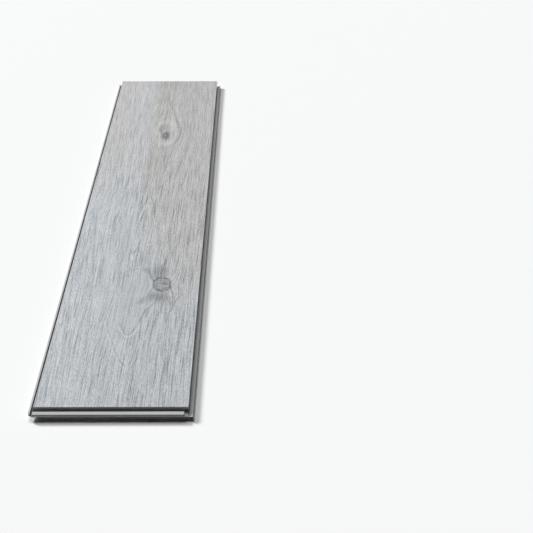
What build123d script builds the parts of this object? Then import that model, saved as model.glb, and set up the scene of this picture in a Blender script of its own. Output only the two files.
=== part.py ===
import os
from math import sqrt

from build123d import *

# A rigid vinyl floor plank with click edges and a foam pad under it, lying face up.
# Millimetres, +Z up. The origin is under the pad, below the middle of the laid face. The
# tongue is on the -X side, the lower lip on the +X side, and the end lip points to -Y.

# Laid face: one plank covers this length and width of floor
plank_length = 1220.0
plank_width = 180.0
plank_thickness = 8.0
edge_easing = 0.3

# Foam pad glued under the plank, a little short of its flat underside all round
pad_thickness = 2.0
pad_setback = 0.5

# Play between two planks that are clicked together
fit_clearance = 0.1

# Long edges: a lower lip with a hook on one side, a tongue over a pocket on the other
lip_reach = 5.8
lip_floor = 1.7
lip_valley = 2.8
lip_hook_rise = 0.9
lip_hook_slope = 0.6
lip_rounding = 0.6
tongue_reach = 5.3
tongue_thickness = 2.3
tongue_tip_rounding = 0.8
tongue_heel_slope = 0.9
dust_groove_radius = 1.4
dust_groove_wall = 0.1

# Short ends: a long lip with a channel in front, a hook that drops into it at the rear
end_lip_reach = 12.8
end_channel = 5.0
end_web = 0.8
end_lock_lean = 0.25
end_hook_rounding = 0.5
end_nose_chamfer = 0.9
lip_corner_radius = 6.0

# Heights of the mating faces, all from the pad, the lip and the clearance
face_height = pad_thickness + plank_thickness
heel_height = pad_thickness + lip_floor + fit_clearance
pocket_ceiling = heel_height + lip_hook_rise
tongue_top = pocket_ceiling + tongue_thickness
end_hook_bottom = pocket_ceiling + end_web + fit_clearance
end_hook_ceiling = tongue_top + fit_clearance

# How far a neighbour's lip reaches under each edge, with its play
pocket_depth = lip_reach + fit_clearance
rear_overhang = end_lip_reach + fit_clearance

# Section of the tongue edge: the joint line is at 0, the tongue points to -X
with BuildSketch() as tongue_edge:
    with BuildLine():
        Polyline(
            (0, face_height),
            (0, tongue_top),
            (-tongue_reach, tongue_top),
            (-tongue_reach, pocket_ceiling),
            (-tongue_heel_slope, pocket_ceiling),
            (0, heel_height),
            (lip_valley, heel_height),
            (lip_valley + lip_hook_slope, pocket_ceiling),
            (pocket_depth, pocket_ceiling),
            (pocket_depth, face_height),
            close=True,
        )
    make_face()
    fillet(tongue_edge.vertices().group_by(Axis.X)[0], tongue_tip_rounding)

# The room that a neighbour's tongue edge needs in the other long edge
with BuildSketch() as tongue_room:
    add(tongue_edge.sketch)
    offset(amount=fit_clearance, kind=Kind.INTERSECTION)

# Section of the rear end: the joint line is at 0, the hook hangs down just inside it
with BuildSketch() as end_hook:
    with BuildLine():
        Polyline(
            (0, face_height),
            (0, end_hook_bottom),
            (-end_channel, end_hook_bottom),
            (end_lock_lean - end_channel, end_hook_ceiling),
            (-rear_overhang, end_hook_ceiling),
            (-rear_overhang, face_height),
            close=True,
        )
    make_face()
    fillet(end_hook.vertices().group_by(Axis.Y)[0], end_hook_rounding)

# The room that a neighbour's rear end needs on the front lip
with BuildSketch() as end_hook_room:
    add(end_hook.sketch)
    offset(amount=fit_clearance, kind=Kind.INTERSECTION)

half_length = plank_length / 2
half_width = plank_width / 2
nose_line = -half_length - end_lip_reach
tongue_line = -half_width - tongue_reach

with BuildPart() as plank:
    # Long edges: one section, run from the nose of the front lip to the rear end
    with BuildSketch(Plane.XZ.offset(-nose_line)) as long_section:
        with Locations((pocket_depth - half_width, pad_thickness)):
            Rectangle(
                plank_width - pocket_depth + lip_reach,
                plank_thickness,
                align=(Align.MIN, Align.MIN),
            )
        with Locations((-half_width, 0)):
            add(tongue_edge.sketch)
        with Locations((half_width, 0)):
            add(tongue_room.sketch, mode=Mode.SUBTRACT)
        fillet(long_section.vertices().group_by(Axis.X)[-1], lip_rounding)
        with Locations((-half_width - dust_groove_wall - dust_groove_radius, tongue_top)):
            Circle(dust_groove_radius, mode=Mode.SUBTRACT)
    extrude(amount=-(plank_length + end_lip_reach))

    # Front end: the lip is what a dropped rear end leaves, from the joint line on, so that
    # the tongue and its groove run on past the channel
    with BuildSketch(Plane.YZ.offset(-half_width - fit_clearance)) as front_cut:
        with Locations((-half_length, 0)):
            add(end_hook_room.sketch)
    extrude(amount=2 * plank_width, mode=Mode.SUBTRACT)

    # Nose of the front lip: chamfered above and below
    with BuildSketch(Plane.YZ) as nose_cut:
        with Locations((nose_line, pad_thickness), (nose_line, tongue_top)):
            Rectangle(sqrt(2) * end_nose_chamfer, sqrt(2) * end_nose_chamfer, rotation=45)
    extrude(amount=plank_width, both=True, mode=Mode.SUBTRACT)

    # Rear end: cut away below the hook, where a neighbour's front lip lies
    with BuildSketch(Plane.YZ) as rear_cut:
        with Locations((half_length - rear_overhang, 0)):
            Rectangle(rear_overhang, face_height, align=(Align.MIN, Align.MIN))
        with Locations((half_length, 0)):
            add(end_hook.sketch, mode=Mode.SUBTRACT)
    extrude(amount=plank_width, both=True, mode=Mode.SUBTRACT)

    # Corners: the tongue stops short of the rear hook and is rounded at the front nose
    with BuildSketch() as corner_cut:
        with Locations((-half_width, half_length)):
            Rectangle(tongue_reach, rear_overhang, align=(Align.MAX, Align.MAX))
        with Locations((tongue_line, nose_line)):
            Rectangle(lip_corner_radius, lip_corner_radius, align=(Align.MIN, Align.MIN))
        with Locations((tongue_line + lip_corner_radius, nose_line + lip_corner_radius)):
            Circle(lip_corner_radius, mode=Mode.SUBTRACT)
    extrude(amount=face_height, mode=Mode.SUBTRACT)

    # Eased edge round the laid face
    laid_face = plank.faces().sort_by(Axis.Z)[-1]
    chamfer(laid_face.edges(), edge_easing)

# Edges of the flat underside that the pad follows
pad_left = pocket_depth - half_width + pad_setback
pad_right = half_width - pad_setback
pad_front = nose_line + end_nose_chamfer + pad_setback
pad_rear = half_length - rear_overhang - pad_setback

with BuildPart() as underlay_pad:
    with BuildSketch() as pad_outline:
        with Locations((pad_left, pad_front)):
            Rectangle(pad_right - pad_left, pad_rear - pad_front, align=(Align.MIN, Align.MIN))
    extrude(amount=pad_thickness)

plank.part.label = "plank"
underlay_pad.part.label = "underlay_pad"
os.makedirs("parts", exist_ok=True)
export_step(plank.part, "parts/plank.step")
export_step(underlay_pad.part, "parts/underlay_pad.step")
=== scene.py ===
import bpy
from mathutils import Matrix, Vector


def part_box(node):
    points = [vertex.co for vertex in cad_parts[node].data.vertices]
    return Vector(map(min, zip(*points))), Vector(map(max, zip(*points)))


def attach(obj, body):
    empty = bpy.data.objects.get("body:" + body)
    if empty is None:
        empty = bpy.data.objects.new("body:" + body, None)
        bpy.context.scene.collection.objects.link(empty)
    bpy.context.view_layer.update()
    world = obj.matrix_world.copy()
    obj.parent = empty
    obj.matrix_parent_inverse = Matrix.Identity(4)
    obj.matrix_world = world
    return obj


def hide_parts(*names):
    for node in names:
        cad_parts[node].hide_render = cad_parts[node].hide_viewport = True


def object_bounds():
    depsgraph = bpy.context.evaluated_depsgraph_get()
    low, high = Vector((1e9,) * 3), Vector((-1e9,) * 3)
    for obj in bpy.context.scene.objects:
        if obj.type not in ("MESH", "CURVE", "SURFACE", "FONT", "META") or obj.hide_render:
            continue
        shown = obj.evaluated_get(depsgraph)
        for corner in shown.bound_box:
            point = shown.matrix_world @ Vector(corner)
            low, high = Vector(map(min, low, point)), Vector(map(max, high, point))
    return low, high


bl_info = {
    "name": "Click floor plank",
    "version": (1, 0, 0),
    "blender": (4, 5, 0),
    "location": "View3D > Sidebar > Floor plank",
    "description": "Dresses a click floor plank with an embossed oak face and milled edges",
    "category": "Object",
}

import math
from typing import NamedTuple

import bmesh
import bpy
from bpy.props import FloatProperty, FloatVectorProperty, PointerProperty
from mathutils import Matrix, Vector

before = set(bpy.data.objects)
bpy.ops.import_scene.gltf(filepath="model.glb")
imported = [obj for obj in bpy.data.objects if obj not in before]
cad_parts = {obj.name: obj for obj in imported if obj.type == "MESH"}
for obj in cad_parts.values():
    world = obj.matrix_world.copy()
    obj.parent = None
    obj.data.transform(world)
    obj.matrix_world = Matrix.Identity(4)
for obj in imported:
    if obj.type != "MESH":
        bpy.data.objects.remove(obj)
cad_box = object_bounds()

# Points that differ by less than this are level with each other
LEVEL = 1e-5

# The laid face is the highest face of the solid, and its eased edge falls away round it
plank_low, plank_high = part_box("plank")
plank_points = [v.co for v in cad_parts["plank"].data.vertices]
face_points = [p for p in plank_points if p.z > plank_high[2] - LEVEL]
FACE_X = min(p.x for p in face_points), max(p.x for p in face_points)
FACE_Y = min(p.y for p in face_points), max(p.y for p in face_points)
FACE_Z = plank_high[2]

# The tongue's flat top lies left of the eased edge, and the groove is the next thing to its right
EASED_EDGE_ROOM = 0.0010
tongue_points = [p for p in plank_points if p.x < FACE_X[0] - EASED_EDGE_ROOM]
TONGUE_TOP = max(p.z for p in tongue_points)
GROOVE_LEFT = max(p.x for p in tongue_points if p.z > TONGUE_TOP - LEVEL)


# Settings

def length(name, description, default):
    """A size in metres."""
    return FloatProperty(name=name, description=description, default=default, unit="LENGTH", precision=5)


def spot(name, description, default):
    """A point or a half size on the face, across and along the plank, in metres."""
    return FloatVectorProperty(
        name=name, description=description, default=default, size=2, unit="LENGTH", precision=4)


def paint(name, description, default):
    """A linear colour."""
    return FloatVectorProperty(
        name=name, description=description, default=default, size=3, subtype="COLOR", min=0.0, max=1.0)


def share(name, description, default):
    """A strength from 0 to 1."""
    return FloatProperty(
        name=name, description=description, default=default, subtype="FACTOR", min=0.0, max=1.0)


def amount(name, description, default):
    """A strength from 0 up."""
    return FloatProperty(name=name, description=description, default=default, min=0.0)


def angle(name, description, degrees):
    """An angle, given in degrees."""
    return FloatProperty(
        name=name, description=description, default=math.radians(degrees), subtype="ANGLE")


class OakFigure(bpy.types.PropertyGroup):
    """Where the grain of the oak print runs and how wide it is"""

    streak_width: length("Streak width", "Spacing of the grain streaks across the plank", 0.0013)
    streak_run: length("Streak run", "Length of a grain streak", 0.15)
    pore_width: length("Pore width", "Spacing of the pores across the plank", 0.0010)
    pore_run: length("Pore run", "Length of a pore", 0.060)
    line_width: length("Growth line spacing", "Spacing of the growth lines across the plank", 0.012)
    line_run: length("Growth line run", "Length over which a growth line keeps its place", 0.50)
    band_width: length("Band width", "Width of the broad light and dark bands", 0.024)
    band_run: length("Band run", "Length of the broad light and dark bands", 0.5)
    left_slant: share("Left slant", "Slope of the grain to the left long edge", 0.028)
    side_lean: length("Side lean", "How far the grain on the left leans over at mid length", 0.009)
    wander: length("Wander", "How far the grain sways from side to side", 0.007)

    rear_knot: spot("Rear knot", "Middle of the knot near the rear end", (0.0080, 0.3230))
    rear_eye: spot("Rear knot eye", "Half width and half length of the rear knot's eye", (0.0235, 0.072))
    front_knot: spot("Front knot", "Middle of the knot in the front half", (0.0386, -0.2825))
    front_eye: spot("Front knot eye", "Half width and half length of the front knot", (0.0118, 0.0205))


class PlankFinish(bpy.types.PropertyGroup):
    """Colours and depths of the face, its eased edge, the bare core and the pad"""

    cool_tone: paint("Cool grey", "Bluish grey of the front and left of the print", (0.472, 0.498, 0.522))
    warm_tone: paint("Warm grey", "Neutral grey of the rear and right of the print", (0.476, 0.476, 0.477))
    pale_tone: paint("Pale rings", "Pale wood of the knot's eye and the arches", (0.66, 0.667, 0.665))
    heart_tone: paint("Heart band", "Brown grey of the band through the rear knot", (0.365, 0.363, 0.318))
    knot_tone: paint("Knot", "Dark middle of a knot", (0.115, 0.122, 0.135))
    edge_tone: paint("Eased edge", "Lighter grey on the eased edge", (0.53, 0.545, 0.555))
    core_tone: paint("Core", "Chalk-filled core on the milled edges", (0.455, 0.465, 0.470))
    core_fleck: paint("Core fleck", "Dark fleck in the core", (0.30, 0.31, 0.315))
    # Painted shade, drawn in the groove beside the tongue and in the seam low on the nose
    painted_shade_tone: paint("Groove", "Dark wax in the groove and in the seam", (0.05, 0.052, 0.056))
    pad_tone: paint("Pad", "Grey foam of the pad", (0.215, 0.215, 0.217))
    # Painted light, drawn on the pad's cut edges
    pad_edge_light: paint("Pad cut", "Painted light along the pad's cut edges", (0.46, 0.46, 0.465))
    pad_pit: paint("Pad pit", "Open pit in the foam's skin", (0.09, 0.09, 0.091))
    streak_depth: share("Streak strength", "How much the streaks lighten and darken the print", 0.12)
    pore_depth: share("Pore strength", "How much a pore darkens the print", 0.31)
    line_depth: share("Growth line strength", "How much a growth line darkens the print", 0.07)
    ridge_lift: share("Ridge strength", "How much a raised ridge lightens the print", 0.19)
    tooth_depth: share("Tooth strength", "How much the fine tooth mottles the print", 0.95)
    emboss_depth: length("Emboss depth", "Depth of the deepest grain in the face", 0.00016)
    cell_across: length("Cell across", "Width of one cell of the embossed face", 0.0006)
    cell_along: length("Cell along", "Length of one cell of the embossed face", 0.006)
    pad_rounding: length("Pad rounding", "Rounding of the pad's cut edges", 0.0003)


class StageSettings(bpy.types.PropertyGroup):
    """Floor, light and camera"""

    floor_tone: paint("Floor", "Colour of the floor", (0.965, 0.972, 0.976))
    floor_size: length("Floor size", "Side of the square floor", 16.0)
    floor_gap: length("Floor gap", "Gap between the part and the floor", 0.0001)
    backdrop_tone: paint("Backdrop", "Colour seen above the floor", (0.92, 0.93, 0.94))
    fill_tone: paint("Fill colour", "Colour of the light from all round", (1.0, 0.95, 0.87))
    fill_strength: amount("Fill", "Light from all round", 0.012)
    key_strength: amount("Key", "Light that the side lamp throws on the floor", 1.65)
    key_height: angle("Key height", "Angle of the side lamp above the floor", 22.8)
    key_side: angle("Key side", "Angle of the side lamp to the left of straight behind", 38)
    key_softness: angle("Key softness", "Angle that the side lamp fills", 9)
    top_strength: amount("Top", "Light that the large top lamp throws on the floor", 1.33)
    top_height: angle("Top height", "Angle of the top lamp above the floor", 44)
    top_side: angle("Top side", "Angle of the top lamp to the left of straight behind", 16)
    top_softness: angle("Top softness", "Angle that the top lamp fills", 30)
    camera_place: FloatVectorProperty(
        name="Camera place", description="Where the camera stands",
        default=(0.1766, -2.0992, 0.8827), size=3, subtype="TRANSLATION", unit="LENGTH")
    camera_pitch: angle("Camera pitch", "How far the camera looks down", 24.972)
    camera_yaw: angle("Camera yaw", "How far the camera looks to the right", 0.14)
    camera_roll: angle("Camera roll", "How far the camera leans", -0.033)
    camera_frame: FloatProperty(
        name="Camera frame", description="Width of the camera's frame in millimetres", default=36.0, min=1.0)
    camera_lens: FloatProperty(
        name="Camera lens", description="Focal length in millimetres", default=100.3, min=1.0)


# Marks of the print. Places and sizes are in metres, across and along the plank.

class Layer(NamedTuple):
    """One layer of noise: its width across the plank, its run along it and its slice of the noise"""

    width: float
    run: float
    slice_at: float
    detail: float = 2.0
    roughness: float = 0.5


class Arch(NamedTuple):
    """A line that opens from its foot, half_width to each side after one rise"""

    foot: tuple
    half_width: float
    rise: float
    lean: float
    strength: float


class Stroke(NamedTuple):
    """A line that leaves its foot along the plank and curves across to its head"""

    foot: tuple
    head: tuple
    half_width: float
    strength: float


class Blot(NamedTuple):
    """A soft blot beside a knot, which fades between two shares of its half size"""

    move: tuple
    size: tuple
    fade: tuple
    strength: float


SWAY = Layer(0.075, 0.42, 1.7, 1.0)
RIPPLE = Layer(0.009, 0.024, 7.7, 3.0)
GAPS = Layer(0.010, 0.030, 33.3)
HAIR = Layer(0.0036, 0.040, 15.2, 3.0, 0.6)
HATCH = Layer(0.013, 0.0060, 22.4)
CLOUD = Layer(0.012, 0.20, 2.2, 3.0, 0.6)
MOTTLE = Layer(0.022, 0.060, 18.6)
PATCHES = Layer(0.030, 0.13, 41.5, 1.0)
SPECK = Layer(0.0011, 0.0050, 27.3, 2.0, 0.6)

# Slices of the layers whose width and run are settings
STREAK_SLICE = 3.1
PORE_SLICE = 9.4
RIDGE_SLICE = 31.1
LINE_SLICE = 5.3
BAND_SLICE = 12.8

# Noise between these two values is spread over the whole range of a mark
STREAK_STEP = 0.36, 0.64
PORE_STEP = 0.50, 0.66
RIDGE_STEP = 0.53, 0.68
GAP_STEP = 0.36, 0.60
FRAY_STEP = 0.36, 0.58
HATCH_STEP = 0.42, 0.60
PATCH_STEP = 0.32, 0.68

# The range of those marks that don't go from 0 to 1
GAP_RANGE = 0.50, 1.0
FRAY_RANGE = 0.50, 1.0
HATCH_RANGE = 0.32, 0.66
PATCH_RANGE = 0.96, 1.10

# Growth lines follow two levels of their noise: level and half width of each
GROWTH_LEVELS = (0.50, 0.034), (0.62, 0.028)

# Course of the grain: across which part the slant and the lean of the left side run out, along
# which part the lean sets in, and how much each knot bends the grain
SLANT_ZONE = -0.075, -0.005
LEAN_ZONE = -0.040, -0.010
LEAN_RUN = -0.07, 0.09
REAR_PULL = 0.6
FRONT_PULL = -0.8

# How uneven each mark's outline is
RIPPLE_DEPTH = 0.8
REAR_RIPPLE = 0.4
FRONT_RIPPLE = 1.4
ARCH_RIPPLE = 0.003

# Rear knot: its pale ring, the dark rim on the ring's right, and its blots. Rings are in shares
# of the eye
RING_START = 0.58, 0.76
RING_END = 0.82, 1.00
RIM_RING = 1.10, 0.12
RIM_SIDE = 0.1, 0.8
REAR_CORE = Blot((0.0010, -0.014), (0.0070, 0.0205), (0.45, 1.35), 0.82)
REAR_WEDGE = Blot((-0.0050, 0.019), (0.0095, 0.026), (0.35, 1.20), 0.34)
REAR_HALO = Blot((0.0, 0.0), (0.0150, 0.050), (0.30, 1.10), 1.0)
CORE_MIDDLE = 0.05, 0.45
CORE_MIDDLE_RANGE = 0.68, 1.0

# Front knot: its body, two rings with their strengths, and the smudges behind and before it. The
# inner ring is strong where the outer one is broken, and the two shares add up to the sum
BODY_EDGE = 0.75, 1.15
INNER_RING = 0.60, 0.24
INNER_STRENGTH = 0.70
OUTER_RING = 0.94, 0.34
OUTER_STRENGTH = 0.92
RING_GAP_SUM = 1.4
FRONT_SMUDGES = (
    Blot((-0.0055, 0.035), (0.0150, 0.036), (0.2, 1.1), 0.66),
    Blot((-0.0050, -0.039), (0.0185, 0.025), (0.2, 1.1), 0.66),
)

# Dark strokes that gather at the front knot, and where along them they begin and end
STROKE_START = 0.0, 0.2
STROKE_END = 0.75, 1.0
KNOT_STROKES = (
    Stroke((0.0385, -0.262), (0.0402, -0.188), 0.0028, 0.70),
    Stroke((0.0165, -0.404), (0.0350, -0.330), 0.0022, 0.66),
    Stroke((0.0240, -0.386), (0.0370, -0.326), 0.0020, 0.60),
    Stroke((0.0428, -0.374), (0.0405, -0.322), 0.0024, 0.50),
    Stroke((0.0515, -0.408), (0.0715, -0.298), 0.0018, 0.48),
    Stroke((0.0140, -0.226), (0.0340, -0.262), 0.0095, 0.36),
    Stroke((0.0130, -0.346), (0.0350, -0.306), 0.0085, 0.42),
    Stroke((0.0550, -0.350), (0.0410, -0.306), 0.0060, 0.34),
)

# Two arches in front, one of them double, a crown at mid length and a hook between them, and
# where along their rise they begin and end
ARCH_START = -0.08, 0.0
ARCH_END = 0.9, 1.6
PALE_ARCH_WIDTH = 0.0023
DARK_ARCH_WIDTH = 0.0024
PALE_ARCHES = (
    Arch((0.0045, -0.4350), 0.0115, 0.022, 0.0, 0.78),
    Arch((0.0090, -0.5160), 0.0212, 0.090, -0.009, 0.55),
    Arch((0.0085, -0.5040), 0.0170, 0.085, -0.009, 0.40),
    Arch((-0.0005, -0.0010), 0.0065, -0.042, 0.0, 1.0),
    Arch((-0.0095, -0.1720), 0.0060, 0.030, 0.0, 0.7),
)
DARK_ARCHES = (
    Arch((0.0045, -0.4290), 0.0090, 0.022, 0.0, 0.70),
    Arch((0.0088, -0.5100), 0.0192, 0.088, -0.009, 0.50),
    Arch((0.0020, 0.0300), 0.0105, -0.060, 0.0, 0.9),
    Arch((-0.0020, -0.0220), 0.0035, -0.030, 0.0, 0.8),
    Arch((-0.0080, -0.1800), 0.0065, 0.035, 0.0, 0.9),
)

# A pale fleck in front of the hook
FLECK_PLACE = -0.0085, -0.195
FLECK_SIZE = 0.0026, 0.0075
FLECK_EDGE = 0.3, 1.0

# Smooth stretches of the print, where the grain hardly shows: middle and half size of each
CALM_STRETCHES = (
    ((0.0020, -0.335), (0.026, 0.125)),
    ((-0.0220, -0.098), (0.018, 0.080)),
)
CALM_EDGE = 1.0, 1.6
CALM_RANGE = 0.60, 1.0

# The warm part of the board: its lower limit falls from left to right
WARM_SPAN = -0.035, 0.055
WARM_LIMIT = 0.12, -0.31
WARM_FADE = -0.16, 0.16
WARM_CLOUD = 0.30

# A cool pale band through the rear left of the warm part
COOL_BAND_SLOPE = 0.040
COOL_BAND_OFFSET = 0.020
COOL_BAND_EDGE = 0.006, 0.024
COOL_BAND_START = 0.05, 0.25
COOL_BAND_STRENGTH = 0.50
COOL_BAND_LIFT = 0.05

# The heart band through the rear knot
HEART_OFFSET = 0.007
HEART_EDGE = 0.006, 0.021
HEART_START = 0.03, 0.14
HEART_CLOUD = 0.30, 0.58
HEART_STRENGTH = 0.36
HALO_STRENGTH = 0.30

# Light and dark that the other marks give the print. The grain shows less towards the rear, and
# the left side is lighter, which is painted light falling off from left to right
REAR_SPAN = -0.10, 0.60
REAR_RANGE = 1.12, 0.80
PAINTED_LEFT_LIGHT_SPAN = -0.085, 0.030
PAINTED_LEFT_LIGHT = 0.09
BAND_DEPTH = 0.04
MOTTLE_DEPTH = 0.03
DARK_ARCH_DEPTH = 0.34
RIM_DEPTH = 0.20
EYE_STRENGTH = 0.42
PALE_ARCH_STRENGTH = 0.85

# Share of the emboss depth that each mark presses, and the valleys between the streaks
EMBOSS_SHARES = {"Pore": 0.55, "Line": 0.30, "Rim": 0.20, "Arch dark": 0.30, "Knot": 0.45}
VALLEY_SHARE = 0.35

# Painted shade in the groove, measured from the tongue's top, the groove's left and the edge of the face
GROOVE_SHADE_TOP = -0.0007, -0.0002
GROOVE_SHADE_LEFT = -0.0002, 0.0
GROOVE_SHADE_RIGHT = -0.0006, -0.0003

# Painted shade in the seam low on the front nose, measured from the underside and from the front of the lip
SEAM_SHADE_TOP = 0.0016, 0.0022
SEAM_SHADE_BOTTOM = 0.0004, 0.0010
SEAM_SHADE_BACK = 0.0012, 0.0018
SEAM_SHADE_STRENGTH = 0.90
SEAM_SHADE_LEAST = 0.15

# Marks of the milling cutter and of the chalk in the core, the film's tooth and the foam's cells
CUTTER_WIDTH = 0.0006
CUTTER_RUN = 0.22
CUTTER_RISE = 0.0005
CUTTER_END = 0.001
CHALK_SIZE = 0.0012
TOOTH_WIDTH = 0.0006
TOOTH_RUN = 0.0040
CELL_SIZE = 0.0009


def beside(base, span):
    """A span that is measured from a base."""
    return base + span[0], base + span[1]


def rgba(tone):
    """A colour with full alpha."""
    return (*tone, 1.0)


# Node trees

class NodeSheet:
    """Adds linked nodes to one tree. Shader and geometry trees take the same nodes."""

    # Sockets of a mix node that are for colours
    MIX_FIRST = 6
    MIX_SECOND = 7
    MIX_RESULT = 2

    def __init__(self, tree):
        self.tree = tree

    def add(self, kind, **settings):
        node = self.tree.nodes.new(kind)
        for name, value in settings.items():
            setattr(node, name, value)
        return node

    def feed(self, socket, value):
        if isinstance(value, bpy.types.NodeSocket):
            self.tree.links.new(value, socket)
        else:
            socket.default_value = value

    def math(self, operation, *values):
        node = self.add("ShaderNodeMath", operation=operation)
        for socket, value in zip(node.inputs, values):
            self.feed(socket, value)
        return node.outputs[0]

    def plus(self, base, value, factor):
        """The base, and a value times a factor."""
        return self.math("MULTIPLY_ADD", value, factor, base)

    def swing(self, base, value, factor):
        """The base, and a factor times how far a value lies from one half."""
        return self.plus(base, self.math("SUBTRACT", value, 0.5), factor)

    def product(self, *values):
        result = values[0]
        for value in values[1:]:
            result = self.math("MULTIPLY", result, value)
        return result

    def most(self, *values):
        result = values[0]
        for value in values[1:]:
            result = self.math("MAXIMUM", result, value)
        return result

    def ramp(self, value, start, end, low=0.0, high=1.0):
        """A smooth step from low to high as the value goes from start to end."""
        node = self.add("ShaderNodeMapRange", interpolation_type="SMOOTHSTEP")
        for socket, given in zip(node.inputs, (value, start, end, low, high)):
            self.feed(socket, given)
        return node.outputs[0]

    def line(self, value, middle, width):
        """1 where the value is at the middle, 0 a width away."""
        away = self.math("ABSOLUTE", self.math("SUBTRACT", value, middle))
        return self.ramp(away, 0.0, width, 1.0, 0.0)

    def split(self, vector):
        node = self.add("ShaderNodeSeparateXYZ")
        self.feed(node.inputs[0], vector)
        return node.outputs

    def join(self, x, y, z):
        node = self.add("ShaderNodeCombineXYZ")
        for socket, value in zip(node.inputs, (x, y, z)):
            self.feed(socket, value)
        return node.outputs[0]

    def noise(self, x, y, layer):
        """Noise stretched to a layer's width across the plank and its run along it."""
        across = self.math("DIVIDE", x, layer.width)
        along = self.math("DIVIDE", y, layer.run)
        node = self.add("ShaderNodeTexNoise", noise_dimensions="3D")
        self.feed(node.inputs["Vector"], self.join(across, along, layer.slice_at))
        node.inputs["Scale"].default_value = 1.0
        node.inputs["Detail"].default_value = layer.detail
        node.inputs["Roughness"].default_value = layer.roughness
        return node.outputs[0]

    def blend(self, factor, first, second):
        node = self.add("ShaderNodeMix", data_type="RGBA", clamp_factor=True)
        self.feed(node.inputs[0], factor)
        self.feed(node.inputs[self.MIX_FIRST], first)
        self.feed(node.inputs[self.MIX_SECOND], second)
        return node.outputs[self.MIX_RESULT]

    def dim(self, tone, value):
        """A colour times a value."""
        node = self.add("ShaderNodeVectorMath", operation="SCALE")
        self.feed(node.inputs[0], tone)
        self.feed(node.inputs["Scale"], value)
        return node.outputs[0]

    def figure(self, group, place):
        """The values of the oak figure at a place."""
        node = self.add("ShaderNodeGroup", node_tree=group)
        self.feed(node.inputs["Position"], place)
        return node.outputs

    def grain(self, group, place, across, along, up):
        """The fine grain at a place, with the size of its marks."""
        node = self.add("ShaderNodeGroup", node_tree=group)
        self.feed(node.inputs["Position"], place)
        for name, size in (("Across", across), ("Along", along), ("Up", up)):
            node.inputs[name].default_value = size
        return node.outputs

    def bump(self, shader, height, strength, distance):
        """Gives a shader the bumps of a height."""
        node = self.add("ShaderNodeBump")
        node.inputs["Strength"].default_value = strength
        node.inputs["Distance"].default_value = distance
        self.feed(node.inputs["Height"], height)
        self.feed(shader.inputs["Normal"], node.outputs["Normal"])


def new_group(name, kind, inputs, outputs):
    """An empty node group with its sockets: (name, socket type) pairs."""
    tree = bpy.data.node_groups.new(name, kind)
    for label, socket in inputs:
        tree.interface.new_socket(label, in_out="INPUT", socket_type=socket)
    for label, socket in outputs:
        tree.interface.new_socket(label, in_out="OUTPUT", socket_type=socket)
    return tree, tree.nodes.new("NodeGroupInput"), tree.nodes.new("NodeGroupOutput")


# Oak figure

def eye_of(sheet, x, y, place, size):
    """How far a point is from a place, in shares of a half size: across, and in all."""
    across = sheet.math("DIVIDE", sheet.math("SUBTRACT", x, place[0]), size[0])
    along = sheet.math("DIVIDE", sheet.math("SUBTRACT", y, place[1]), size[1])
    squares = sheet.math("ADD", sheet.math("POWER", across, 2.0), sheet.math("POWER", along, 2.0))
    return across, sheet.math("SQRT", squares)


def bent_round(sheet, across, eye, half_width, pull):
    """Bends the grain round a knot where pull is above 0, and draws it in where it is below."""
    eye_across, reach = eye
    spread = sheet.math("POWER", sheet.math("MAXIMUM", reach, 1.0), 2.0)
    shift = sheet.math("DIVIDE", sheet.product(eye_across, half_width * pull), spread)
    return sheet.math("SUBTRACT", across, shift)


def grain_course(sheet, x, y, oak):
    """Where a point lies across the grain, with its sway and the slant and lean of the left side."""
    across = sheet.swing(x, sheet.noise(x, y, SWAY), oak.wander)
    slant = sheet.ramp(x, *SLANT_ZONE, oak.left_slant, 0.0)
    across = sheet.plus(across, y, slant)
    lean = sheet.product(sheet.ramp(y, *LEAN_RUN), sheet.ramp(x, *LEAN_ZONE, 1.0, 0.0), oak.side_lean)
    return sheet.math("SUBTRACT", across, lean)


def arch_line(sheet, x, y, arch, width):
    way = sheet.math("DIVIDE", sheet.math("SUBTRACT", y, arch.foot[1]), arch.rise)
    bow = sheet.product(sheet.math("SQRT", sheet.math("MAXIMUM", way, 0.0)), arch.half_width)
    middle = sheet.plus(arch.foot[0], way, arch.lean)
    away = sheet.math("ABSOLUTE", sheet.math("SUBTRACT", x, middle))
    return sheet.product(
        sheet.line(away, bow, width),
        sheet.ramp(way, *ARCH_START),
        sheet.ramp(way, *ARCH_END, 1.0, 0.0))


def arches(sheet, x, y, ripple, gap, marks, width):
    """The strongest arch at a point, wavy and broken."""
    wavy = sheet.plus(x, ripple, ARCH_RIPPLE)
    lines = [sheet.product(arch_line(sheet, wavy, y, arch, width), gap, arch.strength) for arch in marks]
    return sheet.most(*lines)


def stroke_line(sheet, x, y, stroke):
    foot, head = stroke.foot, stroke.head
    way = sheet.math("DIVIDE", sheet.math("SUBTRACT", y, foot[1]), head[1] - foot[1])
    middle = sheet.plus(foot[0], sheet.math("POWER", way, 2.0), head[0] - foot[0])
    return sheet.product(
        sheet.line(x, middle, stroke.half_width),
        sheet.ramp(way, *STROKE_START),
        sheet.ramp(way, *STROKE_END, 1.0, 0.0),
        stroke.strength)


def blot_on(sheet, x, y, knot, blot, ripple):
    """A blot with an uneven edge, and how far a point is from it."""
    place = knot[0] + blot.move[0], knot[1] + blot.move[1]
    _, reach = eye_of(sheet, x, y, place, blot.size)
    return sheet.ramp(sheet.math("ADD", reach, ripple), *blot.fade, blot.strength, 0.0), reach


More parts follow.
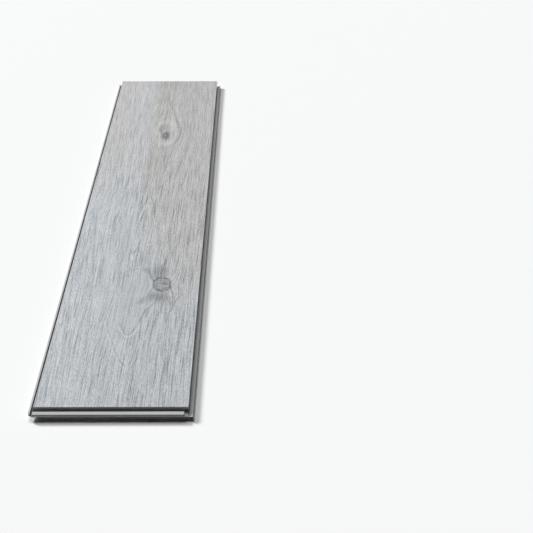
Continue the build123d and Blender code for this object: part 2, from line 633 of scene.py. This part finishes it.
def rear_knot_marks(sheet, x, y, knot, eye, ripple, gap):
    """A soft dark core, paler in its middle, with a wedge behind it, inside a broken pale ring."""
    eye_across, eye_reach = eye
    ring = sheet.plus(eye_reach, ripple, REAR_RIPPLE)
    pale = sheet.product(sheet.ramp(ring, *RING_START), sheet.ramp(ring, *RING_END, 1.0, 0.0), gap)
    rim = sheet.product(sheet.line(ring, *RIM_RING), sheet.ramp(eye_across, *RIM_SIDE))
    core, core_reach = blot_on(sheet, x, y, knot, REAR_CORE, ripple)
    core = sheet.product(core, sheet.ramp(core_reach, *CORE_MIDDLE, *CORE_MIDDLE_RANGE))
    wedge, _ = blot_on(sheet, x, y, knot, REAR_WEDGE, ripple)
    halo, _ = blot_on(sheet, x, y, knot, REAR_HALO, ripple)
    return pale, rim, halo, sheet.most(core, wedge)


def front_knot_marks(sheet, x, y, knot, eye, ripple, gap, fray):
    """A broken dark ring round a hatched middle, with smudges and strokes fanning out."""
    _, eye_reach = eye
    ring = sheet.plus(eye_reach, ripple, FRONT_RIPPLE)
    hatch = sheet.ramp(sheet.noise(x, y, HATCH), *HATCH_STEP, *HATCH_RANGE)
    body = sheet.product(sheet.ramp(ring, *BODY_EDGE, 1.0, 0.0), hatch)
    inner_gap = sheet.math("SUBTRACT", RING_GAP_SUM, gap)
    inner = sheet.product(sheet.line(ring, *INNER_RING), inner_gap, INNER_STRENGTH)
    outer = sheet.product(sheet.line(ring, *OUTER_RING), gap, OUTER_STRENGTH)
    smudges = [blot_on(sheet, x, y, knot, blot, ripple)[0] for blot in FRONT_SMUDGES]
    strokes = [stroke_line(sheet, x, y, stroke) for stroke in KNOT_STROKES]
    return sheet.most(body, inner, outer, sheet.product(sheet.most(*smudges, *strokes), fray))


def lay_figure(sheet, position, oak):
    """The oak figure at a point of the face, as named values from 0 to 1."""
    x, y, _ = sheet.split(position)
    rear_eye = eye_of(sheet, x, y, oak.rear_knot, oak.rear_eye)
    front_eye = eye_of(sheet, x, y, oak.front_knot, oak.front_eye)
    across = grain_course(sheet, x, y, oak)
    across = bent_round(sheet, across, rear_eye, oak.rear_eye[0], REAR_PULL)
    across = bent_round(sheet, across, front_eye, oak.front_eye[0], FRONT_PULL)

    streaks = sheet.noise(across, y, Layer(oak.streak_width, oak.streak_run, STREAK_SLICE, 1.0))
    pores = sheet.noise(across, y, Layer(oak.pore_width, oak.pore_run, PORE_SLICE, 1.0))
    ridges = sheet.noise(across, y, Layer(oak.pore_width, oak.pore_run, RIDGE_SLICE, 1.0))
    growth = sheet.noise(across, y, Layer(oak.line_width, oak.line_run, LINE_SLICE, 1.0))
    bands = sheet.noise(across, y, Layer(oak.band_width, oak.band_run, BAND_SLICE))

    ripple = sheet.product(sheet.math("SUBTRACT", sheet.noise(x, y, RIPPLE), 0.5), RIPPLE_DEPTH)
    gap = sheet.ramp(sheet.noise(x, y, GAPS), *GAP_STEP, *GAP_RANGE)
    fray = sheet.ramp(sheet.noise(across, y, HAIR), *FRAY_STEP, *FRAY_RANGE)
    eye, rim, halo, rear_dark = rear_knot_marks(sheet, x, y, oak.rear_knot, rear_eye, ripple, gap)
    front_dark = front_knot_marks(sheet, x, y, oak.front_knot, front_eye, ripple, gap, fray)
    _, fleck_reach = eye_of(sheet, x, y, FLECK_PLACE, FLECK_SIZE)
    fleck = sheet.ramp(fleck_reach, *FLECK_EDGE, 1.0, 0.0)
    return {
        "Streak": sheet.ramp(streaks, *STREAK_STEP),
        "Pore": sheet.ramp(pores, *PORE_STEP),
        "Line": sheet.most(*(sheet.line(growth, *level) for level in GROWTH_LEVELS)),
        "Ridge": sheet.ramp(ridges, *RIDGE_STEP),
        "Band": bands,
        "Eye": eye,
        "Rim": rim,
        "Halo": halo,
        "Knot": sheet.most(rear_dark, front_dark),
        "Arch pale": sheet.most(fleck, arches(sheet, x, y, ripple, gap, PALE_ARCHES, PALE_ARCH_WIDTH)),
        "Arch dark": arches(sheet, x, y, ripple, gap, DARK_ARCHES, DARK_ARCH_WIDTH),
    }


FIGURE_VALUES = (
    "Streak", "Pore", "Line", "Ridge", "Band", "Eye", "Rim", "Halo", "Knot", "Arch pale", "Arch dark")


def oak_figure(oak):
    """Shader group: the oak figure, for the face and for its eased edge."""
    tree, given, result = new_group(
        "oak_figure", "ShaderNodeTree",
        [("Position", "NodeSocketVector")],
        [(name, "NodeSocketFloat") for name in FIGURE_VALUES])
    sheet = NodeSheet(tree)
    values = lay_figure(sheet, given.outputs["Position"], oak)
    for name in FIGURE_VALUES:
        sheet.feed(result.inputs[name], values[name])
    return tree


def oak_emboss(finish, oak):
    """Geometry group: presses the figure into the laid face, in register with the print."""
    tree, given, result = new_group(
        "oak_emboss", "GeometryNodeTree",
        [("Geometry", "NodeSocketGeometry")], [("Geometry", "NodeSocketGeometry")])
    sheet = NodeSheet(tree)
    position = sheet.add("GeometryNodeInputPosition").outputs[0]
    x, y, z = sheet.split(position)
    values = lay_figure(sheet, position, oak)
    depth = sheet.product(sheet.math("SUBTRACT", 1.0, values["Streak"]), VALLEY_SHARE)
    for name, part in EMBOSS_SHARES.items():
        depth = sheet.plus(depth, values[name], part)
    depth = sheet.math("MINIMUM", depth, 1.0)

    # The relief runs out at the edge of the face, and leaves all that lies lower alone
    inset = finish.cell_across * 2
    margin = sheet.math("GREATER_THAN", z, FACE_Z - LEVEL)
    for way, (start, end) in ((x, FACE_X), (y, FACE_Y)):
        margin = sheet.product(
            margin, sheet.ramp(way, start, start + inset), sheet.ramp(way, end - inset, end, 1.0, 0.0))
    drop = sheet.product(depth, margin, -finish.emboss_depth)
    press = sheet.add("GeometryNodeSetPosition")
    sheet.feed(press.inputs["Geometry"], given.outputs[0])
    sheet.feed(press.inputs["Offset"], sheet.join(0.0, 0.0, drop))
    sheet.feed(result.inputs[0], press.outputs[0])
    return tree


def fine_grain():
    """Shader group, built once: the fine marks in the film, the core and the foam."""
    built = bpy.data.node_groups.get("fine_grain")
    if built:
        return built
    tree, given, result = new_group(
        "fine_grain", "ShaderNodeTree",
        [("Position", "NodeSocketVector"), ("Across", "NodeSocketFloat"), ("Along", "NodeSocketFloat"),
         ("Up", "NodeSocketFloat")],
        [("Grain", "NodeSocketFloat"), ("Fleck", "NodeSocketFloat")])
    sheet = NodeSheet(tree)
    x, y, z = sheet.split(given.outputs["Position"])
    stretched = sheet.join(
        sheet.math("DIVIDE", x, given.outputs["Across"]),
        sheet.math("DIVIDE", y, given.outputs["Along"]),
        sheet.math("DIVIDE", z, given.outputs["Up"]))
    for output, scale, start, end in (("Grain", 1.0, 0.30, 0.70), ("Fleck", 2.7, 0.60, 0.72)):
        node = sheet.add("ShaderNodeTexNoise", noise_dimensions="3D")
        sheet.feed(node.inputs["Vector"], stretched)
        node.inputs["Scale"].default_value = scale
        node.inputs["Detail"].default_value = 3.0
        sheet.feed(result.inputs[output], sheet.ramp(node.outputs[0], start, end))
    return tree


# Materials

def new_material(name):
    """A material with its Principled shader, its sheet and its Object coordinates."""
    material = bpy.data.materials.new(name)
    material.use_nodes = True
    sheet = NodeSheet(material.node_tree)
    shader = material.node_tree.nodes["Principled BSDF"]
    place = sheet.add("ShaderNodeTexCoord").outputs["Object"]
    return material, sheet, shader, place


def cool_band_at(sheet, x, y):
    away = sheet.math("ABSOLUTE", sheet.math("ADD", sheet.plus(COOL_BAND_OFFSET, y, COOL_BAND_SLOPE), x))
    return sheet.product(sheet.ramp(away, *COOL_BAND_EDGE, 1.0, 0.0), sheet.ramp(y, *COOL_BAND_START))


def board_tone(sheet, x, y, cloud, cool_band, finish, oak, values):
    """The broad colours of the board, from cool to warm, with the heart band on top."""
    limit = sheet.ramp(x, *WARM_SPAN, *WARM_LIMIT)
    above = sheet.swing(sheet.math("SUBTRACT", y, limit), cloud, WARM_CLOUD)
    warm = sheet.product(sheet.ramp(above, *WARM_FADE), sheet.plus(1.0, cool_band, -COOL_BAND_STRENGTH))
    tone = sheet.blend(warm, rgba(finish.cool_tone), rgba(finish.warm_tone))

    away = sheet.math("ABSOLUTE", sheet.math("SUBTRACT", x, oak.rear_knot[0] - HEART_OFFSET))
    heart = sheet.product(
        sheet.ramp(away, *HEART_EDGE, 1.0, 0.0),
        sheet.ramp(y, *HEART_START),
        sheet.ramp(cloud, *HEART_CLOUD),
        HEART_STRENGTH)
    heart = sheet.most(heart, sheet.product(values["Halo"], HALO_STRENGTH))
    return sheet.blend(heart, tone, rgba(finish.heart_tone))


def grain_and_painted_light(sheet, x, y, cloud, cool_band, finish, values):
    """Light and dark of the grain, more so in some patches than in others, and painted light on the left."""
    patch = sheet.ramp(sheet.noise(x, y, PATCHES), *PATCH_STEP, *PATCH_RANGE)
    patch = sheet.product(patch, sheet.ramp(y, *REAR_SPAN, *REAR_RANGE))
    for middle, half_size in CALM_STRETCHES:
        _, reach = eye_of(sheet, x, y, middle, half_size)
        calm = sheet.ramp(sheet.math("ADD", reach, cloud), *CALM_EDGE, *CALM_RANGE)
        patch = sheet.product(patch, calm)

    light = sheet.product(sheet.math("SUBTRACT", values["Streak"], 0.5), finish.streak_depth)
    light = sheet.swing(light, sheet.noise(x, y, SPECK), finish.tooth_depth)
    light = sheet.plus(light, values["Ridge"], finish.ridge_lift)
    light = sheet.plus(light, values["Pore"], -finish.pore_depth)
    light = sheet.plus(1.0, light, patch)

    light = sheet.swing(light, values["Band"], BAND_DEPTH)
    light = sheet.swing(light, sheet.noise(x, y, MOTTLE), MOTTLE_DEPTH)
    light = sheet.plus(light, values["Line"], -finish.line_depth)
    light = sheet.plus(light, values["Arch dark"], -DARK_ARCH_DEPTH)
    light = sheet.plus(light, values["Rim"], -RIM_DEPTH)
    # Painted light: the left side of the face is lighter
    light = sheet.math("ADD", light, sheet.ramp(x, *PAINTED_LEFT_LIGHT_SPAN, PAINTED_LEFT_LIGHT, 0.0))
    return sheet.plus(light, cool_band, COOL_BAND_LIFT)


def oak_print(finish, oak, figure, grain):
    """Printed and embossed oak under a matt clear coat."""
    material, sheet, shader, place = new_material("oak_print")
    x, y, _ = sheet.split(place)
    values = sheet.figure(figure, place)
    cloud = sheet.noise(x, y, CLOUD)
    cool_band = cool_band_at(sheet, x, y)

    tone = board_tone(sheet, x, y, cloud, cool_band, finish, oak, values)
    tone = sheet.dim(tone, grain_and_painted_light(sheet, x, y, cloud, cool_band, finish, values))
    pale = sheet.most(
        sheet.product(values["Eye"], EYE_STRENGTH), sheet.product(values["Arch pale"], PALE_ARCH_STRENGTH))
    tone = sheet.blend(pale, tone, rgba(finish.pale_tone))
    tone = sheet.blend(values["Knot"], tone, rgba(finish.knot_tone))
    sheet.feed(shader.inputs["Base Color"], tone)

    rough = sheet.plus(0.74, values["Streak"], -0.08)
    sheet.feed(shader.inputs["Roughness"], sheet.plus(rough, values["Pore"], 0.12))
    shader.inputs["Specular IOR Level"].default_value = 0.08

    # The grain's relief is in the mesh, and only the film's fine tooth is left to the bump
    tooth = sheet.grain(grain, place, TOOTH_WIDTH, TOOTH_RUN, TOOTH_WIDTH)
    sheet.bump(shader, tooth["Grain"], strength=0.35, distance=0.00008)
    return material


def eased_edge(finish, figure):
    """Lighter grey on the eased edge, with the grain just showing."""
    material, sheet, shader, place = new_material("eased_edge")
    values = sheet.figure(figure, place)
    light = sheet.plus(sheet.swing(1.0, values["Streak"], 0.12), values["Pore"], -0.08)
    sheet.feed(shader.inputs["Base Color"], sheet.dim(finish.edge_tone, light))
    sheet.feed(shader.inputs["Roughness"], sheet.plus(0.60, values["Pore"], 0.10))
    shader.inputs["Specular IOR Level"].default_value = 0.2
    return material


def painted_shade_lines(sheet, x, y, z):
    """Painted shade in the groove beside the tongue and in the seam low on the front nose."""
    painted_shade = sheet.product(
        sheet.ramp(z, *beside(TONGUE_TOP, GROOVE_SHADE_TOP), 1.0, 0.0),
        sheet.ramp(x, *beside(GROOVE_LEFT, GROOVE_SHADE_LEFT)),
        sheet.ramp(x, *beside(FACE_X[0], GROOVE_SHADE_RIGHT), 1.0, 0.0))
    seam = sheet.product(
        sheet.ramp(z, *beside(plank_low[2], SEAM_SHADE_TOP), SEAM_SHADE_STRENGTH, 0.0),
        sheet.ramp(z, *beside(plank_low[2], SEAM_SHADE_BOTTOM), SEAM_SHADE_LEAST, 1.0),
        sheet.ramp(y, *beside(plank_low[1], SEAM_SHADE_BACK), 1.0, 0.0))
    return sheet.most(painted_shade, seam)


def bare_core(finish, grain):
    """Milled and calendered chalk-filled core: cutter lines along each edge, and dark flecks."""
    material, sheet, shader, place = new_material("bare_core")
    x, y, z = sheet.split(place)

    # The cutter ran along the long edges, and across at the two ends
    side_marks = sheet.grain(grain, place, CUTTER_WIDTH, CUTTER_RUN, CUTTER_RISE)["Grain"]
    end_marks = sheet.grain(grain, place, CUTTER_RUN, CUTTER_WIDTH, CUTTER_RISE)["Grain"]
    at_end = sheet.most(
        sheet.ramp(y, FACE_Y[0] - CUTTER_END, FACE_Y[0], 1.0, 0.0),
        sheet.ramp(y, FACE_Y[1], FACE_Y[1] + CUTTER_END))
    cutter = sheet.math(
        "ADD", sheet.product(end_marks, at_end),
        sheet.product(side_marks, sheet.math("SUBTRACT", 1.0, at_end)))
    chalk = sheet.grain(grain, place, CHALK_SIZE, CHALK_SIZE, CHALK_SIZE)

    fleck = sheet.product(chalk["Fleck"], 0.35)
    tone = sheet.blend(fleck, rgba(finish.core_tone), rgba(finish.core_fleck))
    # Painted shade darkens the groove beside the tongue and the seam low on the nose
    tone = sheet.blend(painted_shade_lines(sheet, x, y, z), tone, rgba(finish.painted_shade_tone))
    light = sheet.swing(sheet.swing(1.0, cutter, 0.12), chalk["Grain"], 0.10)
    sheet.feed(shader.inputs["Base Color"], sheet.dim(tone, light))
    sheet.feed(shader.inputs["Roughness"], sheet.plus(0.66, cutter, -0.12))
    shader.inputs["Specular IOR Level"].default_value = 0.08
    sheet.bump(shader, sheet.plus(cutter, chalk["Grain"], 0.4), strength=0.5, distance=0.00005)
    return material


def pad_foam(finish, grain, low, high):
    """Closed-cell foam with a fine pitted skin, and painted light on its cut edges."""
    material, sheet, shader, place = new_material("pad_foam")
    x, y, _ = sheet.split(place)
    rounding = finish.pad_rounding
    cut = 0.0
    for way, start, end in ((x, low.x, high.x), (y, low.y, high.y)):
        cut = sheet.most(
            cut, sheet.ramp(way, start, start + rounding, 1.0, 0.0), sheet.ramp(way, end - rounding, end))
    cells = sheet.grain(grain, place, CELL_SIZE, CELL_SIZE, CELL_SIZE)
    # Painted light makes the pad's cut edges paler than their shade
    skin = sheet.blend(cut, rgba(finish.pad_tone), rgba(finish.pad_edge_light))
    tone = sheet.blend(cells["Fleck"], skin, rgba(finish.pad_pit))
    sheet.feed(shader.inputs["Base Color"], sheet.dim(tone, sheet.swing(1.0, cells["Grain"], 0.25)))
    sheet.feed(shader.inputs["Roughness"], sheet.plus(0.80, cells["Fleck"], 0.12))
    shader.inputs["Specular IOR Level"].default_value = 0.15
    pits = sheet.math("SUBTRACT", cells["Grain"], cells["Fleck"])
    sheet.bump(shader, pits, strength=0.6, distance=0.00012)
    return material


def floor_white(stage):
    """Plain matt floor."""
    material, _, shader, _ = new_material("floor_white")
    shader.inputs["Base Color"].default_value = rgba(stage.floor_tone)
    shader.inputs["Roughness"].default_value = 0.8
    shader.inputs["Specular IOR Level"].default_value = 0.02
    return material


# Pieces

# Material slots of the plank
PRINT, EASED_EDGE, BARE_CORE = range(3)

# Edges that turn by less than the first two are smooth, and faces that turn by less than the
# third are one flat
SMOOTH_TURN = math.radians(24)
PAD_SMOOTH_TURN = math.radians(40)
FLAT_TURN = math.radians(0.5)
MERGE_DISTANCE = 1e-6


def on_laid_face(vert):
    return vert.co.z > FACE_Z - LEVEL


def cut_face(bm, axis, cells, **more):
    """Cuts the edges of the laid face that run along an axis into cells."""
    across = 1 - axis
    edges = [
        e for e in bm.edges
        if all(on_laid_face(v) for v in e.verts)
        and abs(e.verts[0].co[across] - e.verts[1].co[across]) < LEVEL]
    bmesh.ops.subdivide_edges(bm, edges=edges, cuts=cells - 1, **more)


def smooth_mesh(bm, name, turn):
    """A mesh with smooth faces, sharp where they turn by more than an angle. Frees the bmesh."""
    for face in bm.faces:
        face.smooth = True
    for edge in bm.edges:
        edge.smooth = edge.calc_face_angle() < turn
    mesh = bpy.data.meshes.new(name)
    bm.to_mesh(mesh)
    bm.free()
    return mesh


def plank_mesh(finish):
    """A merged copy of the solid, with the laid face cut into fine cells."""
    bm = bmesh.new()
    bm.from_mesh(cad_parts["plank"].data)
    bmesh.ops.remove_doubles(bm, verts=bm.verts, dist=MERGE_DISTANCE)
    bmesh.ops.dissolve_limit(bm, angle_limit=FLAT_TURN, verts=bm.verts, edges=bm.edges)
    cut_face(bm, 0, round((FACE_X[1] - FACE_X[0]) / finish.cell_across))
    cut_face(bm, 1, round((FACE_Y[1] - FACE_Y[0]) / finish.cell_along), use_grid_fill=True)

    for face in bm.faces:
        on_face = [on_laid_face(v) for v in face.verts]
        if all(on_face):
            face.material_index = PRINT
        elif any(on_face):
            face.material_index = EASED_EDGE
        else:
            face.material_index = BARE_CORE
    return smooth_mesh(bm, "plank_dressed", SMOOTH_TURN)


def pressed(mesh, group):
    """The mesh with the emboss group run on it."""
    carrier = bpy.data.objects.new("emboss_carrier", mesh)
    bpy.context.scene.collection.objects.link(carrier)
    carrier.modifiers.new("Emboss", "NODES").node_group = group
    graph = bpy.context.evaluated_depsgraph_get()
    result = bpy.data.meshes.new_from_object(carrier.evaluated_get(graph), depsgraph=graph)
    bpy.data.objects.remove(carrier)
    bpy.data.meshes.remove(mesh)
    result.name = "plank_dressed"
    return result


class MakePlank(bpy.types.Operator):
    """Build the plank with its embossed oak face, eased edge and milled edges"""

    bl_idname = "object.make_floor_plank"
    bl_label = "Make plank"

    def execute(self, context):
        oak = context.scene.plank_oak
        finish = context.scene.plank_finish
        mesh = pressed(plank_mesh(finish), oak_emboss(finish, oak))
        figure, grain = oak_figure(oak), fine_grain()
        mesh.materials.append(oak_print(finish, oak, figure, grain))
        mesh.materials.append(eased_edge(finish, figure))
        mesh.materials.append(bare_core(finish, grain))
        plank = bpy.data.objects.new("plank_dressed", mesh)
        context.scene.collection.objects.link(plank)
        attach(plank, "root")
        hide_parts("plank")
        return {"FINISHED"}


class MakePad(bpy.types.Operator):
    """Build the foam pad glued under the plank, with its cut edges a little rounded"""

    bl_idname = "object.make_underlay_pad"
    bl_label = "Make pad"

    def execute(self, context):
        finish = context.scene.plank_finish
        low, high = (Vector(corner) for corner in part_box("underlay_pad"))
        bm = bmesh.new()
        bmesh.ops.create_cube(bm, size=1.0)
        bmesh.ops.scale(bm, vec=high - low, verts=bm.verts)
        bmesh.ops.translate(bm, vec=(low + high) / 2, verts=bm.verts)
        bmesh.ops.bevel(
            bm, geom=bm.edges[:], offset=finish.pad_rounding, offset_type="OFFSET", affect="EDGES",
            segments=3, profile=0.5, material=-1)
        mesh = smooth_mesh(bm, "pad_dressed", PAD_SMOOTH_TURN)
        mesh.materials.append(pad_foam(finish, fine_grain(), low, high))
        pad = bpy.data.objects.new("pad_dressed", mesh)
        context.scene.collection.objects.link(pad)
        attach(pad, "root")
        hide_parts("underlay_pad")
        return {"FINISHED"}


class MakeStage(bpy.types.Operator):
    """Lay the floor and set the light and the camera"""

    bl_idname = "scene.make_plank_stage"
    bl_label = "Make stage"

    def execute(self, context):
        stage = context.scene.plank_stage
        self.floor(context, stage)
        self.lamps(context, stage)
        self.surround(context, stage)
        self.camera(context, stage)
        context.scene.view_settings.view_transform = "Standard"
        return {"FINISHED"}

    def floor(self, context, stage):
        bm = bmesh.new()
        bmesh.ops.create_grid(bm, x_segments=1, y_segments=1, size=stage.floor_size / 2)
        bmesh.ops.translate(bm, verts=bm.verts, vec=(0.0, 0.0, cad_box[0][2] - stage.floor_gap))
        mesh = bpy.data.meshes.new("floor")
        bm.to_mesh(mesh)
        bm.free()
        mesh.materials.append(floor_white(stage))
        floor = bpy.data.objects.new("floor", mesh)
        context.scene.collection.objects.link(floor)

    def lamps(self, context, stage):
        for name in ("key", "top"):
            strength, height, side, softness = (
                getattr(stage, name + "_" + part) for part in ("strength", "height", "side", "softness"))
            lamp = bpy.data.lights.new(name, "SUN")
            lamp.energy = strength / math.sin(height)
            lamp.angle = softness
            sun = bpy.data.objects.new(name, lamp)
            flat = math.cos(height)
            aim = Vector((math.sin(side) * flat, -math.cos(side) * flat, -math.sin(height)))
            sun.rotation_euler = aim.to_track_quat("-Z", "Y").to_euler()
            context.scene.collection.objects.link(sun)

    def surround(self, context, stage):
        """A weak light from all round, and a pale backdrop where it is seen or mirrored."""
        world = bpy.data.worlds.new("studio")
        world.use_nodes = True
        context.scene.world = world
        sheet = NodeSheet(world.node_tree)
        fill = world.node_tree.nodes["Background"]
        fill.inputs["Color"].default_value = rgba(stage.fill_tone)
        fill.inputs["Strength"].default_value = stage.fill_strength
        seen = sheet.add("ShaderNodeBackground")
        seen.inputs["Color"].default_value = rgba(stage.backdrop_tone)
        path = sheet.add("ShaderNodeLightPath").outputs
        shown = sheet.most(path["Is Camera Ray"], path["Is Glossy Ray"], path["Is Transmission Ray"])
        mix = sheet.add("ShaderNodeMixShader")
        sheet.feed(mix.inputs[0], shown)
        sheet.feed(mix.inputs[1], fill.outputs[0])
        sheet.feed(mix.inputs[2], seen.outputs[0])
        sheet.feed(world.node_tree.nodes["World Output"].inputs["Surface"], mix.outputs[0])

    def camera(self, context, stage):
        lens = bpy.data.cameras.new("camera")
        lens.sensor_fit = "HORIZONTAL"
        lens.sensor_width = stage.camera_frame
        lens.lens = stage.camera_lens
        lens.clip_start = 0.05
        camera = bpy.data.objects.new("camera", lens)
        turn = (Matrix.Rotation(-stage.camera_yaw, 4, "Z")
                @ Matrix.Rotation(math.pi / 2 - stage.camera_pitch, 4, "X")
                @ Matrix.Rotation(stage.camera_roll, 4, "Z"))
        camera.matrix_world = Matrix.Translation(stage.camera_place) @ turn
        context.scene.collection.objects.link(camera)
        context.scene.camera = camera


class PlankPanel(bpy.types.Panel):
    """Settings and steps of the floor plank"""

    bl_idname = "VIEW3D_PT_floor_plank"
    bl_label = "Floor plank"
    bl_space_type = "VIEW_3D"
    bl_region_type = "UI"
    bl_category = "Floor plank"

    def draw(self, context):
        for settings in (context.scene.plank_oak, context.scene.plank_finish, context.scene.plank_stage):
            box = self.layout.box()
            for name in settings.__annotations__:
                box.prop(settings, name)
        self.layout.operator(MakePlank.bl_idname)
        self.layout.operator(MakePad.bl_idname)
        self.layout.operator(MakeStage.bl_idname)


CLASSES = (OakFigure, PlankFinish, StageSettings, MakePlank, MakePad, MakeStage, PlankPanel)


def register():
    for cls in CLASSES:
        bpy.utils.register_class(cls)
    bpy.types.Scene.plank_oak = PointerProperty(type=OakFigure)
    bpy.types.Scene.plank_finish = PointerProperty(type=PlankFinish)
    bpy.types.Scene.plank_stage = PointerProperty(type=StageSettings)


def unregister():
    del bpy.types.Scene.plank_stage
    del bpy.types.Scene.plank_finish
    del bpy.types.Scene.plank_oak
    for cls in reversed(CLASSES):
        bpy.utils.unregister_class(cls)


def main():
    register()
    bpy.ops.object.make_floor_plank()
    bpy.ops.object.make_underlay_pad()
    bpy.ops.scene.make_plank_stage()


if __name__ == "__main__":
    main()
